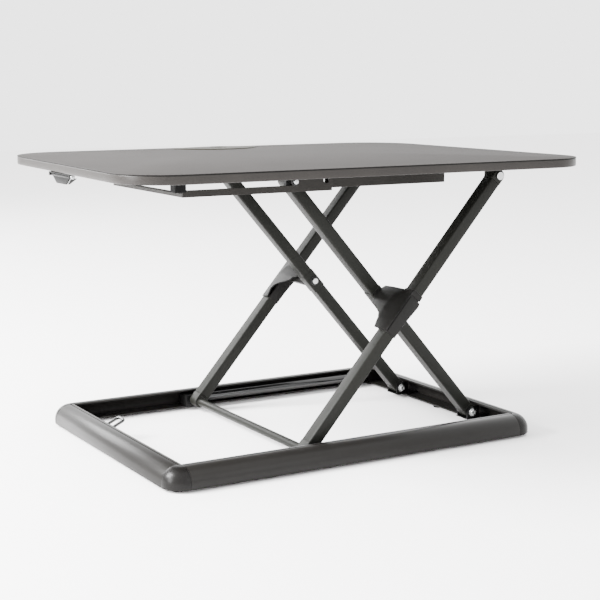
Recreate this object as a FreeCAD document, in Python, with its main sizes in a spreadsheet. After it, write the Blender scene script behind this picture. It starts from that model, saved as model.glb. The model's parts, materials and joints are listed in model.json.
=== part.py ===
"""Standing desk converter on a scissor lift: a flat desktop that stays level, two pairs of crossed
legs and a base frame of four bars.  Millimetres, +Z up.  The origin is on the ground under the
middle of the base, +X points right and +Y to the rear.  The legs stand raised."""
import FreeCAD, Part
import os
import re

DOC = FreeCAD.newDocument("standing_desk_converter")
SHEET = DOC.addObject("Spreadsheet::Sheet", "Sizes")

SIZES = {
    # desktop board
    "desk_width": 800, "desk_depth": 580, "desk_rear_width": 757, "board_thick": 12.6,
    "laminate_thick": 1.4, "front_corner": 78, "rear_corner": 98,
    # rear cable insert, a lens in plan
    "insert_chord": 158, "insert_front_sag": 50, "insert_rear_sag": 22, "insert_setback": 32,
    "insert_rim": 4, "insert_lip": 2.4, "insert_gap": 0.3, "cable_hole_radius": 16,
    # base frame
    "pivot_inset": 6.1, "end_margin": 4, "bar_width": 33, "bar_bottom": 4, "bar_tall": 31,
    "bar_wall": 2.5, "bar_round": 24, "groove_inset": 7.5, "groove_wide": 1.8, "groove_deep": 1.2,
    "tongue_length": 8, "tongue_gap": 0.3, "foot_radius": 9, "base_leg_gap": 11.5,
    # legs
    "leg_lower": 279.1, "leg_upper": 258.6, "raised_angle": 48.95, "folded_angle": 1.76,
    "leg_tall": 20, "leg_wide": 23, "leg_wall": 1.5, "inner_leg_y": 106, "outer_leg_y": 186,
    "fitting_reach": 12, "fitting_tongue": 18, "fitting_gap": 0.2,
    # pivots
    "pivot_x": 289.9, "leg_room": 1, "bolt_radius": 4, "shaft_radius": 5,
    "running_gap": 0.05,
    "side_gap": 0.5, "bush_radius": 7, "spacer_radius": 9, "nut_thick": 5, "nut_radius": 7,
    "cross_tube_radius": 6.5, "cross_tube_wall": 1.2, "pin_radius": 5,
    # pivot brackets at the right-hand bar
    "cheek_thick": 3, "cheek_radius": 9.5, "bracket_plate": 1.5, "bracket_width": 34,
    "head_thick": 5, "head_radius": 6.5,
    # pivot covers
    "cover_low": 57, "cover_high": 12, "cover_wall": 1.2, "cover_side": 2, "hump_radius": 102,
    "hump_rise": 22, "hump_shift": 28, "boss_radius": 11, "boss_reach": 17, "web_high": 16,
    # base sliders and lift cylinder
    "slider_length": 32, "slider_gap": 0.6, "cylinder_y": 208.5, "cylinder_radius": 8,
    "cylinder_wall": 1.5, "cylinder_start": 13, "cylinder_length": 298, "rod_radius": 4,
    "gland_length": 12, "piston_back": 78, "piston_length": 10, "end_cap_length": 12,
    "stud_length": 14, "holder_thick": 5,
    # catch loop on the left-hand bar
    "catch_y": 85, "catch_wide": 28, "catch_reach": 30, "catch_thick": 3, "catch_band": 5,
    "catch_rise": 0.3, "catch_start": 9, "catch_slope": 25.7,
    # rails under the desktop
    "rail_gap": 8.5, "rail_thick": 2.5, "rail_tall": 33, "rail_flange": 20, "slot_tall": 12,
    "shoe_boss": 5.7, "shoe_width": 24, "end_gap": 1, "rail_end": 3, "rail_tail_gap": 1.9,
    "strut_width": 9, "strut_tall": 6, "bumper_length": 18, "bumper_drop": 24.5, "window_radius": 5,
    # stiffener channels and hinge brackets under the desktop
    "channel_y": 79, "channel_wide": 14, "channel_left": 25, "channel_right": 250,
    "channel_wall": 1.8, "channel_step": 12, "channel_step_tall": 14,
    "hinge_plate_long": 46, "hinge_plate_wide": 24, "hinge_cheek": 4, "screw_radius": 3.6,
    "screw_head": 2,
    # lock: a flat bar on the sliders, two cams and two edge levers
    "bridge_wide": 20, "bridge_thick": 2.2, "bridge_gap": 1, "lock_bar_spare": 20, "cam_x": -33,
    "cam_drop": 19, "cam_y": 11, "cam_thick": 8, "cam_pad_gap": 0.3, "cam_round": 5,
    "cable_radius": 1.5, "cable_gap": 0.3, "cable_y": 24, "cable_stop": 8, "cable_stop_tall": 5,
    "cable_clip": 6,
    "lever_inset": 3.2, "lever_drop": 3.5, "lever_top": 77, "lever_low": 38, "lever_tall": 12.5,
    "lever_thick": 3, "lever_pin": 1.6, "barrel_radius": 2.8, "lever_ear": 4, "tie_pin": 1.5,
    "cam_housing_wall": 3,
    "spring_wire": 0.6, "plate_long": 32, "plate_thick": 1.5,
}
for row, (alias, value) in enumerate(SIZES.items(), start=1):
    SHEET.set("A%d" % row, alias)
    SHEET.set("B%d" % row, str(value))
    SHEET.setAlias("B%d" % row, alias)
DOC.recompute()

# places worked out from the driving sizes
FULL_LEG = "(leg_lower + leg_upper)"
PIVOT_Z = "(bar_bottom + bar_wall + bracket_plate + leg_room + leg_tall / 2)"
MID_X = "(pivot_x - leg_lower * cos(raised_angle))"
MID_Z = "(%s + leg_lower * sin(raised_angle))" % PIVOT_Z
FOOT_X = "(pivot_x - 2 * leg_lower * cos(raised_angle))"
FOOT_FOLDED_X = "(pivot_x - 2 * leg_lower * cos(folded_angle))"
TOP_Z = "(%s + %s * sin(raised_angle))" % (PIVOT_Z, FULL_LEG)
INNER_TOP_X = "(pivot_x - %s * cos(raised_angle))" % FULL_LEG
OUTER_TOP_X = "(pivot_x - (leg_lower - leg_upper) * cos(raised_angle))"
INNER_FOLDED_X = "(%s - 2 * leg_upper * cos(folded_angle))" % OUTER_TOP_X
MID_FOLDED_X = "(%s - leg_upper * cos(folded_angle))" % OUTER_TOP_X
BRIDGE_RISE = "(leg_tall / 2 + bridge_gap)"
BRIDGE_Z = "(%s + %s)" % (TOP_Z, BRIDGE_RISE)
UNDER_Z = "(%s + bridge_thick + cable_gap + 2 * cable_radius)" % BRIDGE_Z
BASE_RIGHT = "(pivot_x + pivot_inset)"
BASE_LEFT = "(%s - slider_length / 2 - end_margin - tongue_length)" % FOOT_FOLDED_X
BASE_Y = "(outer_leg_y + leg_wide / 2 + base_leg_gap)"
SLOT_LEFT = "(%s - shoe_boss - end_gap)" % INNER_FOLDED_X
SLOT_RIGHT = "(%s + shoe_boss + end_gap)" % INNER_TOP_X
RAIL_LEFT = "(%s - rail_end)" % SLOT_LEFT
RAIL_RIGHT = "(%s - boss_radius - rail_tail_gap)" % MID_FOLDED_X
RAIL_Y = "(inner_leg_y + leg_wide / 2 + rail_gap)"
SIDE_X = "(desk_width / 4 + desk_rear_width / 4)"
LEVER_X = "(%s - lever_inset)" % SIDE_X
CABLE_Z = "(%s - cable_radius)" % UNDER_Z
PLATE_INNER_X = "(%s + lever_ear - plate_long)" % LEVER_X
LEVER_Z = "(%s - lever_drop)" % UNDER_Z
CAM_Z = "(%s - cam_drop)" % UNDER_Z
LOCK_BAR_LONG = "(cam_x + lock_bar_spare - %s)" % INNER_FOLDED_X
LOCK_BAR_WIDE = "(2 * cam_y + cam_thick)"

SUBPARTS = []
AXES = {"x": (FreeCAD.Vector(0, 1, 0), 90), "y": (FreeCAD.Vector(1, 0, 0), -90)}
FRONT_REAR = (("front", "-1"), ("rear", "1"))
LEFT_RIGHT = (("left", "-1"), ("right", "1"))


def formula(text):
    """The text of an expression with every size name tied to its cell."""
    return re.sub(r"[a-z_]+", lambda word: "Sizes." + word.group()
                  if word.group() in SIZES else word.group(), str(text))


def bind(item, **sizes):
    """Ties properties of an object to expressions over the sheet."""
    for name, text in sizes.items():
        item.setExpression(name, formula(text))
    return item


def place(item, x=0, y=0, z=0):
    """Ties an object's place to expressions."""
    for axis, text in (("x", x), ("y", y), ("z", z)):
        item.setExpression("Placement.Base." + axis, formula(text))
    return item


def turn(item, axis, degrees):
    """Turns an object about an axis by an angle tied to the sheet."""
    item.Placement = FreeCAD.Placement(FreeCAD.Vector(), FreeCAD.Rotation(FreeCAD.Vector(*axis), 30))
    item.setExpression("Placement.Rotation.Angle", formula(degrees))
    return item


def box(length, width, height, x=0, y=0, z=0):
    """A block from its lowest corner."""
    item = DOC.addObject("Part::Box", "Block")
    bind(item, Length=length, Width=width, Height=height)
    return place(item, x, y, z)


def middle_box(length, width, height, x=0, y=0, z=0):
    """A block about its middle."""
    corner = ["%s - (%s) / 2" % pair for pair in ((x, length), (y, width), (z, height))]
    return box(length, width, height, *corner)


def rod(radius, length, x=0, y=0, z=0, along="z"):
    """A round bar from the middle of its first end."""
    item = DOC.addObject("Part::Cylinder", "Round")
    if along in AXES:
        item.Placement = FreeCAD.Placement(FreeCAD.Vector(), FreeCAD.Rotation(*AXES[along]))
    bind(item, Radius=radius, Height=length)
    return place(item, x, y, z)


def fuse(*pieces):
    """Pieces joined into one."""
    item = DOC.addObject("Part::MultiFuse", "Joined")
    item.Shapes = list(pieces)
    item.Refine = True
    return item


def cut(base, *tools):
    """A piece with others taken away."""
    item = DOC.addObject("Part::Cut", "Trimmed")
    item.Base = base
    item.Tool = tools[0] if len(tools) == 1 else fuse(*tools)
    return item


def common(first, second):
    """What two pieces share."""
    item = DOC.addObject("Part::MultiCommon", "Shared")
    item.Shapes = [first, second]
    return item


def group(*pieces):
    """Separate solids kept in one node."""
    item = DOC.addObject("Part::Compound", "Group")
    item.Links = list(pieces)
    return item


def number(text):
    """A size read back from the sheet."""
    return float(SHEET.get(text))


def rounded(item, picks):
    """Rounds the edges that a test picks, each by its own radius."""
    DOC.recompute()
    result = DOC.addObject("Part::Fillet", "Rounded")
    result.Base = item
    found = []
    for index, edge in enumerate(item.Shape.Edges, start=1):
        radius = picks(edge)
        if radius:
            found.append((index, radius, radius))
    result.Edges = found
    return result


def subpart(node, item):
    """Names a finished piece."""
    item.Label = node
    SUBPARTS.append((node, item))
    return item


def tube(outer, inner, length, x, y, z, along="y"):
    """A round tube."""
    return cut(rod(outer, length, x, y, z, along), rod(inner, length, x, y, z, along))


def along_y(side, start, length):
    """The lower end of a stretch that runs outwards from start on either side."""
    return start if side == "1" else "-(%s) - (%s)" % (start, length)


# ---- base frame ----

def bar_outline(edge):
    """The outer top edge of a bar lying along X, rounded over."""
    box_of = edge.BoundBox
    level = box_of.ZLength < 0.01 and abs(box_of.ZMax - number("bar_tall")) < 0.01
    return number("bar_round") if level and box_of.YLength < 0.01 and abs(box_of.YMin) < 0.01 else 0


def inner_outline(edge):
    """The same edge of the hollow, one wall smaller."""
    box_of = edge.BoundBox
    top = number("bar_tall") - number("bar_wall")
    level = box_of.ZLength < 0.01 and abs(box_of.ZMax - top) < 0.01
    outer = box_of.YLength < 0.01 and abs(box_of.YMin - number("bar_wall")) < 0.01
    return number("bar_round") - number("bar_wall") if level and outer else 0


def base_bar(node, length, x, y, degrees):
    """A bar with a rounded outer shoulder, open along its inner side, with a groove on top."""
    outer = rounded(box(length, "bar_width", "bar_tall"), bar_outline)
    hollow = rounded(box(length, "bar_width", "bar_tall - 2 * bar_wall", 0, "bar_wall", "bar_wall"),
                     inner_outline)
    groove = box(length, "groove_wide", "groove_deep", 0, "bar_width - groove_inset",
                 "bar_tall - groove_deep")
    bar = cut(outer, hollow, groove)
    if degrees:
        bar.Placement = FreeCAD.Placement(FreeCAD.Vector(),
                                          FreeCAD.Rotation(FreeCAD.Vector(0, 0, 1), degrees))
    return subpart(node, place(bar, x, y, "bar_bottom"))


def corner_cap(x_sign, y_sign):
    """A quarter-round cap with a tongue into each bar."""
    start = {("1", "1"): 0, ("-1", "1"): 90, ("-1", "-1"): 180, ("1", "-1"): 270}[(x_sign, y_sign)]
    quarter = DOC.addObject("Part::Cylinder", "Quarter")
    bind(quarter, Radius="bar_width", Height="bar_tall")
    quarter.Angle = 90
    body = rounded(quarter, lambda edge: number("bar_round") if edge.BoundBox.ZLength < 0.01
                   and abs(edge.BoundBox.ZMax - number("bar_tall")) < 0.01
                   and hasattr(edge.Curve, "Radius") else 0)
    tall = "bar_tall - 2 * bar_wall - 2 * tongue_gap"
    tongue_z = "bar_wall + tongue_gap"
    wide = "bar_width - bar_round"
    first = box("tongue_length", wide, tall, "-tongue_length", "tongue_gap", tongue_z)
    second = box(wide, "tongue_length", tall, "tongue_gap", "-tongue_length", tongue_z)
    cap = fuse(body, first, second)
    cap.Placement = FreeCAD.Placement(FreeCAD.Vector(),
                                      FreeCAD.Rotation(FreeCAD.Vector(0, 0, 1), start))
    corner_x = BASE_RIGHT if x_sign == "1" else BASE_LEFT
    return place(cap, corner_x, "%s * %s" % (y_sign, BASE_Y), "bar_bottom")


def build_base():
    long_bar = "%s - %s" % (BASE_RIGHT, BASE_LEFT)
    cross_bar = "2 * %s" % BASE_Y
    base_bar("base_bar_front", long_bar, BASE_LEFT, "-%s - bar_width" % BASE_Y, 0)
    base_bar("base_bar_rear", long_bar, BASE_RIGHT, "%s + bar_width" % BASE_Y, 180)
    base_bar("base_bar_left", cross_bar, "%s - bar_width" % BASE_LEFT, BASE_Y, 270)
    base_bar("base_bar_right", cross_bar, "%s + bar_width" % BASE_RIGHT, "-" + BASE_Y, 90)
    corners = [(x, y) for x in ("-1", "1") for y in ("-1", "1")]
    subpart("corner_caps", group(*[corner_cap(*corner) for corner in corners]))
    feet = []
    for x in ("%s - bar_width / 3" % BASE_LEFT, "%s + bar_width / 3" % BASE_RIGHT):
        for share in ("-1", "0", "1"):
            feet.append(rod("foot_radius", "bar_bottom", x, "%s * (%s + bar_width / 3)" % (share, BASE_Y)))
    subpart("rubber_feet", group(*feet))
    screws = []
    for x in ("%s + tongue_length / 2" % BASE_LEFT, "%s - tongue_length / 2" % BASE_RIGHT):
        for y in ("-1", "1"):
            at_y = "%s * (%s + bar_width / 2)" % (y, BASE_Y)
            head = rod("screw_radius", "screw_head", x, at_y, "bar_bottom - screw_head")
            screws.append(head)
    subpart("corner_screws", group(*screws))


def pivot_bracket(sign):
    """Two cheeks on a plate that lies on the right-hand bar's lower flange."""
    left = "pivot_x - cheek_radius"
    long = "pivot_inset + cheek_radius + bar_width - bar_wall - slider_gap"
    floor = "bar_bottom + bar_wall"
    middle = "%s * inner_leg_y" % sign
    plate = middle_box(long, "bracket_width", "bracket_plate", "%s + (%s) / 2" % (left, long), middle,
                       floor + " + bracket_plate / 2")
    pieces = [plate]
    reach = "leg_wide / 2 + side_gap"
    for cheek in ("-1", "1"):
        at_y = "%s + %s * (%s + cheek_thick / 2) - cheek_thick / 2" % (middle, cheek, reach)
        tall = "%s + cheek_radius - (%s)" % (PIVOT_Z, floor)
        pieces.append(box("pivot_inset + bar_width - bar_round", "cheek_thick", tall, "pivot_x", at_y,
                          floor))
        pieces.append(rod("cheek_radius", "cheek_thick", "pivot_x", at_y, PIVOT_Z, "y"))
        pieces.append(box("cheek_radius", "cheek_thick", "%s - (%s)" % (PIVOT_Z, floor), left, at_y,
                          floor))
    hole = rod("bolt_radius + running_gap", "2 * leg_wide + 4 * cheek_thick", "pivot_x",
               middle + " - leg_wide - 2 * cheek_thick", PIVOT_Z, "y")
    return cut(fuse(*pieces), hole)


def pivot_bolt(sign):
    """A bolt with a domed head at its front end and a nut at the other."""
    half = "leg_wide / 2 + side_gap + cheek_thick"
    middle = "%s * inner_leg_y" % sign
    shank = rod("bolt_radius", "2 * (%s) + nut_thick" % half, "pivot_x",
                "%s - (%s)" % (middle, half), PIVOT_Z, "y")
    head = rod("head_radius", "head_thick", "pivot_x", "%s - (%s) - head_thick" % (middle, half),
               PIVOT_Z, "y")
    head = rounded(head, lambda edge: 2 if edge.BoundBox.YMax < edge_middle(head)
                   and hasattr(edge.Curve, "Radius") else 0)
    nut = tube("nut_radius", "bolt_radius", "nut_thick", "pivot_x", "%s + %s" % (middle, half), PIVOT_Z)
    return fuse(shank, head), nut


def edge_middle(item):
    """The middle of an object along Y."""
    return item.Shape.BoundBox.Center.y


def build_base_pivots():
    subpart("pivot_brackets", group(*[pivot_bracket(sign) for _, sign in FRONT_REAR]))
    pairs = [pivot_bolt(sign) for _, sign in FRONT_REAR]
    subpart("base_pivot_bolts", group(*[bolt for bolt, _ in pairs]))
    subpart("base_pivot_nuts", group(*[nut for _, nut in pairs]))


def build_catch():
    """A sloping loop on the left-hand bar.  The legs' foot tube comes to rest just under it."""
    slope_x = "%s + catch_start" % BASE_LEFT
    plate = turn(box("catch_reach", "catch_wide", "catch_thick"), (0, -1, 0), "catch_slope")
    place(plate, slope_x, "catch_y - catch_wide / 2", PIVOT_Z + " + catch_rise")
    window = box("catch_reach * cos(catch_slope) - 2 * catch_band", "catch_wide - 2 * catch_band",
                 "2 * bar_tall", slope_x + " + catch_band", "catch_y - catch_wide / 2 + catch_band")
    floor = "bar_bottom + bar_wall"
    foot = box("catch_start + catch_band", "catch_wide", "catch_thick", BASE_LEFT + " - catch_band",
               "catch_y - catch_wide / 2", floor)
    riser = box("catch_thick", "catch_wide", "%s + catch_rise + catch_thick / 2 - (%s)" % (PIVOT_Z, floor),
                slope_x,
                "catch_y - catch_wide / 2", floor)
    subpart("catch_loop", fuse(cut(plate, window), riser, foot))


# ---- sliders in the base and the lift cylinder ----

def base_slider(sign):
    """A block that fills the hollow of a long bar and reaches out to the leg's pin."""
    tall = "bar_tall - 2 * bar_wall - 2 * slider_gap"
    inner = "%s - base_leg_gap + 2 * side_gap" % BASE_Y
    deep = "bar_width - bar_wall - slider_gap - bar_round / 2"
    outer_tall = "(%s) * 0.8" % tall
    floor = "bar_bottom + bar_wall + slider_gap"
    body = box("slider_length", deep, outer_tall, FOOT_X + " - slider_length / 2",
               along_y(sign, BASE_Y, deep), floor)
    neck_long = "base_leg_gap - 2 * side_gap"
    neck = box("slider_length", neck_long, outer_tall, FOOT_X + " - slider_length / 2",
               along_y(sign, inner, neck_long), floor)
    bore = rod("pin_radius + running_gap", "%s + %s" % (deep, neck_long), FOOT_X,
               along_y(sign, inner, "%s + %s" % (deep, neck_long)), PIVOT_Z, "y")
    return cut(fuse(body, neck), bore)


def build_lift_cylinder():
    first = FOOT_X + " + slider_length / 2"
    start = first + " + cylinder_start"
    z = PIVOT_Z
    barrel = cut(rod("cylinder_radius", "cylinder_length", start, "cylinder_y", z, "x"),
                 rod("cylinder_radius - cylinder_wall", "cylinder_length", start, "cylinder_y", z, "x"))
    subpart("cylinder_barrel", barrel)
    gland = cut(rod("cylinder_radius - cylinder_wall", "gland_length", start, "cylinder_y", z, "x"),
                rod("rod_radius + running_gap", "gland_length", start, "cylinder_y", z, "x"))
    subpart("cylinder_gland", gland)
    end = start + " + cylinder_length"
    plug = rod("cylinder_radius - cylinder_wall", "end_cap_length", end + " - end_cap_length",
               "cylinder_y", z, "x")
    stud = rod("rod_radius", "stud_length", end, "cylinder_y", z, "x")
    subpart("cylinder_end_plug", fuse(plug, stud))
    holder_tall = "bar_tall - 2 * bar_wall - 2 * slider_gap"
    upright = box("holder_thick", "2 * cylinder_radius", "(%s) * 0.8" % holder_tall, end,
                  "cylinder_y - cylinder_radius", "bar_bottom + bar_wall")
    foot = box("4 * holder_thick", "2 * cylinder_radius", "bracket_plate", end,
               "cylinder_y - cylinder_radius", "bar_bottom + bar_wall")
    hole = rod("rod_radius", "holder_thick", end, "cylinder_y", z, "x")
    subpart("cylinder_holder", cut(fuse(upright, foot), hole))
    rod_start = first
    piston = start + " + cylinder_length - piston_back"
    subpart("piston_rod", rod("rod_radius", "%s - (%s)" % (piston, rod_start), rod_start,
                              "cylinder_y", z, "x"))
    subpart("piston", rod("cylinder_radius - cylinder_wall - running_gap", "piston_length", piston,
                          "cylinder_y", z, "x"))


# ---- legs ----

def leg_place(item, which):
    """Stands a leg built along X on its lower pivot."""
    if which == "inner":
        turn(item, (0, -1, 0), "180 - raised_angle")
        return place(item, "pivot_x", 0, PIVOT_Z)
    turn(item, (0, -1, 0), "raised_angle")
    return place(item, FOOT_X, 0, PIVOT_Z)


def leg_tube(which, sign):
    """A rectangular tube with a hole through the middle pivot."""
    mid_y = "%s * %s_leg_y" % (sign, which)
    length = FULL_LEG + " - 2 * fitting_reach"
    outer = middle_box(length, "leg_wide", "leg_tall", FULL_LEG + " / 2", mid_y)
    hollow = middle_box(length, "leg_wide - 2 * leg_wall", "leg_tall - 2 * leg_wall",
                        FULL_LEG + " / 2", mid_y)
    if which == "inner":
        hole = rod("shaft_radius", "leg_wide", "leg_lower", mid_y + " - leg_wide / 2", 0, "y")
    else:
        inner = "%s_leg_y - leg_wide / 2" % which
        hole = rod("bush_radius", "leg_wall", "leg_lower", along_y(sign, inner, "leg_wall"), 0, "y")
    return leg_place(cut(outer, hollow, hole), which)


def leg_fitting(which, sign, end, bore):
    """A rounded end piece with a tongue in the tube and a cross bore."""
    mid_y = "%s * %s_leg_y" % (sign, which)
    at_x, inwards = ("0", "1") if end == "foot" else (FULL_LEG, "-1")
    nose = rod("leg_tall / 2", "leg_wide", at_x, mid_y + " - leg_wide / 2", 0, "y")
    neck = middle_box("fitting_reach", "leg_wide", "leg_tall",
                      "%s + %s * fitting_reach / 2" % (at_x, inwards), mid_y)
    tongue = middle_box("fitting_tongue", "leg_wide - 2 * leg_wall - 2 * fitting_gap",
                        "leg_tall - 2 * leg_wall - 2 * fitting_gap",
                        "%s + %s * (fitting_reach + fitting_tongue / 2)" % (at_x, inwards), mid_y)
    hole = rod(bore, "leg_wide", at_x, mid_y + " - leg_wide / 2", 0, "y")
    return leg_place(cut(fuse(nose, neck, tongue), hole), which)


def build_inner_frame():
    for name, sign in FRONT_REAR:
        subpart("inner_leg_" + name, leg_tube("inner", sign))
    running = "bolt_radius + running_gap"
    subpart("inner_leg_foot_fittings",
            group(*[leg_fitting("inner", sign, "foot", running) for _, sign in FRONT_REAR]))
    subpart("inner_leg_top_fittings",
            group(*[leg_fitting("inner", sign, "top", "bolt_radius") for _, sign in FRONT_REAR]))
    half = RAIL_Y + " + rail_thick + shoe_boss + nut_thick / 2"
    subpart("top_axle", rod("bolt_radius", "2 * (%s)" % half, INNER_TOP_X, "-(%s)" % half, TOP_Z, "y"))
    inner_face = "inner_leg_y - leg_wide / 2"
    outer_face = "outer_leg_y + leg_wide / 2 - leg_wall - side_gap"
    shafts, nuts, spacers = [], [], []
    for _, sign in FRONT_REAR:
        start = "%s - nut_thick" % inner_face
        shaft_long = "%s - (%s)" % (outer_face, start)
        shafts.append(rod("shaft_radius", shaft_long, MID_X, along_y(sign, start, shaft_long),
                          MID_Z, "y"))
        nuts.append(tube("nut_radius", "shaft_radius", "nut_thick", MID_X,
                         along_y(sign, start, "nut_thick"), MID_Z))
        gap_start = "inner_leg_y + leg_wide / 2"
        spacer_long = "outer_leg_y - inner_leg_y - leg_wide - side_gap"
        spacers.append(tube("spacer_radius", "shaft_radius + running_gap", spacer_long, MID_X,
                            along_y(sign, gap_start, spacer_long), MID_Z))
    subpart("mid_pivot_shafts", group(*shafts))
    subpart("mid_pivot_nuts", group(*nuts))
    subpart("mid_pivot_spacers", group(*spacers))


def pivot_cover(sign):
    """A moulded shell round the outer leg at the middle pivot: a sleeve, a humped back and a web
    that narrows towards the inner leg."""
    leg_in = "outer_leg_y - leg_wide / 2"
    leg_out = "outer_leg_y + leg_wide / 2"
    low = "leg_lower - cover_low"
    long = "cover_low + cover_high"
    sleeve_wide = "leg_wide + cover_wall"
    sleeve = box(long, sleeve_wide, "leg_tall + 2 * cover_side", low,
                 along_y(sign, leg_in, sleeve_wide), "-leg_tall / 2 - cover_side")
    web_start = "%s - (outer_leg_y - inner_leg_y - leg_wide - side_gap * 2 - boss_reach)" % leg_in
    web_long = "%s + leg_wide / 3 - (%s)" % (leg_in, web_start)
    web = DOC.addObject("Part::Wedge", "Web")
    near, far = ("Ymin", "Ymax") if sign == "1" else ("Ymax", "Ymin")
    begin = along_y(sign, web_start, web_long)
    bind(web, Ymin=begin, Ymax="%s + %s" % (begin, web_long))
    narrow = {"low": "leg_lower - boss_radius", "high": "leg_lower + boss_radius",
              "down": "-boss_radius", "up": "boss_radius"}
    broad = {"low": low, "high": "leg_lower + web_high", "down": "-leg_tall / 2 - cover_side",
             "up": "hump_rise"}
    first, second = (narrow, broad) if near == "Ymin" else (broad, narrow)
    bind(web, Xmin=first["low"], Xmax=first["high"], Zmin=first["down"], Zmax=first["up"],
         X2min=second["low"], X2max=second["high"], Z2min=second["down"], Z2max=second["up"])
    hump = rod("hump_radius", "3 * leg_wide + boss_reach + web_high",
               "leg_lower - hump_shift",
               along_y(sign, web_start, "3 * leg_wide + boss_reach + web_high"),
               "hump_rise - hump_radius", "y")
    boss_start = "inner_leg_y + leg_wide / 2 + side_gap"
    boss = rod("boss_radius", "boss_reach + side_gap", "leg_lower",
               along_y(sign, boss_start, "boss_reach + side_gap"), 0, "y")
    solid = fuse(sleeve, common(web, hump), boss)
    leg_room = middle_box(FULL_LEG, "leg_wide", "leg_tall",
                          FULL_LEG + " / 2", "%s * outer_leg_y" % sign)
    bore = rod("spacer_radius + side_gap", "outer_leg_y - inner_leg_y", "leg_lower",
               along_y(sign, "inner_leg_y", "outer_leg_y - inner_leg_y"), 0, "y")
    return leg_place(cut(solid, leg_room, bore), "outer")


def build_outer_frame():
    for name, sign in FRONT_REAR:
        subpart("outer_leg_" + name, leg_tube("outer", sign))
    subpart("outer_leg_foot_fittings",
            group(*[leg_fitting("outer", sign, "foot", "pin_radius") for _, sign in FRONT_REAR]))
    running = "bolt_radius + running_gap"
    subpart("outer_leg_top_fittings",
            group(*[leg_fitting("outer", sign, "top", running) for _, sign in FRONT_REAR]))
    bushes, pins = [], []
    inner_face = "outer_leg_y - leg_wide / 2"
    bush_long = "leg_wide - leg_wall"
    pin_start = inner_face + " - 2 * pin_radius"
    pin_long = "%s + bar_width / 3 - (%s)" % (BASE_Y, pin_start)
    for _, sign in FRONT_REAR:
        bushes.append(tube("bush_radius", "shaft_radius + running_gap", bush_long, MID_X,
                           along_y(sign, inner_face, bush_long), MID_Z))
        pins.append(rod("pin_radius", pin_long, FOOT_X, along_y(sign, pin_start, pin_long),
                        PIVOT_Z, "y"))
        subpart("pivot_cover_" + ("rear" if sign == "1" else "front"), pivot_cover(sign))
    subpart("outer_leg_bushes", group(*bushes))
    subpart("foot_pins", group(*pins))
    subpart("foot_cross_tube", tube("cross_tube_radius", "cross_tube_radius - cross_tube_wall",
                                    "2 * (%s)" % inner_face, FOOT_X, "-(%s)" % inner_face, PIVOT_Z))


# ---- desktop ----

def desk_board(thick, z):
    """The desktop outline: straight front, sides drawn in towards the rear, four round corners."""
    board = DOC.addObject("Part::Wedge", "Board")
    bind(board, Xmin="-desk_width / 2", Xmax="desk_width / 2", Ymin="-desk_depth / 2",
         Ymax="desk_depth / 2", Zmin="0", Zmax=thick, X2min="-desk_rear_width / 2",
         X2max="desk_rear_width / 2", Z2min="0", Z2max=thick)

    def corner(edge):
        if edge.BoundBox.XLength > 0.01 or edge.BoundBox.YLength > 0.01:
            return 0
        return number("front_corner") if edge.BoundBox.YMax < 0 else number("rear_corner")
    return place(rounded(board, corner), 0, 0, z)


def lens(grow, thick, z):
    """The part that two wide arcs share: the plan of the rear cable insert."""
    sheets = []
    for sag, sign in (("insert_front_sag", "1"), ("insert_rear_sag", "-1")):
        curve = "((insert_chord / 2 + %s)^2 + (%s + %s)^2) / (2 * (%s + %s))" % (grow, sag, grow,
                                                                               sag, grow)
        middle = "desk_depth / 2 - insert_setback + %s * (%s - (%s + %s))" % (sign, curve, sag, grow)
        sheets.append(rod(curve, thick, 0, middle, z))
    return common(*sheets)


def build_desktop():
    laminate_z = "%s + board_thick" % UNDER_Z
    hole = lens("insert_gap", "board_thick", UNDER_Z)
    subpart("desktop_board", cut(desk_board("board_thick", UNDER_Z), hole))
    top_hole = lens("(insert_rim + insert_gap)", "laminate_thick", laminate_z)
    subpart("desktop_laminate", cut(desk_board("laminate_thick", laminate_z), top_hole))
    plug = lens("0", "board_thick", UNDER_Z)
    lip = lens("insert_rim", "laminate_thick + insert_lip", laminate_z)
    passage = rod("cable_hole_radius", "2 * board_thick", 0,
                  "desk_depth / 2 - insert_setback - insert_rear_sag / 2", UNDER_Z)
    subpart("cable_insert", cut(fuse(plug, lip), passage))


def rail(sign):
    """A slotted plate with a screwed flange along its top."""
    bottom = UNDER_Z + " - rail_tall"
    long = "%s - %s" % (RAIL_RIGHT, RAIL_LEFT)
    plate = box(long, "rail_thick", "rail_tall", RAIL_LEFT, along_y(sign, RAIL_Y, "rail_thick"), bottom)
    flange = box(long, "rail_flange", "rail_thick", RAIL_LEFT, along_y(sign, RAIL_Y, "rail_flange"),
                 UNDER_Z + " - rail_thick")
    slot_long = "%s - (%s) - slot_tall" % (SLOT_RIGHT, SLOT_LEFT)
    slot = box(slot_long, "rail_thick", "slot_tall", SLOT_LEFT + " + slot_tall / 2",
               along_y(sign, RAIL_Y, "rail_thick"), TOP_Z + " - slot_tall / 2")
    ends = [rod("slot_tall / 2", "rail_thick", x, along_y(sign, RAIL_Y, "rail_thick"), TOP_Z, "y")
            for x in (SLOT_LEFT + " + slot_tall / 2", SLOT_RIGHT + " - slot_tall / 2")]
    window = rod("window_radius", "rail_thick", RAIL_RIGHT + " - 2 * window_radius",
                 along_y(sign, RAIL_Y, "rail_thick"), TOP_Z, "y")
    return cut(fuse(plate, flange), slot, window, *ends)


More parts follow.
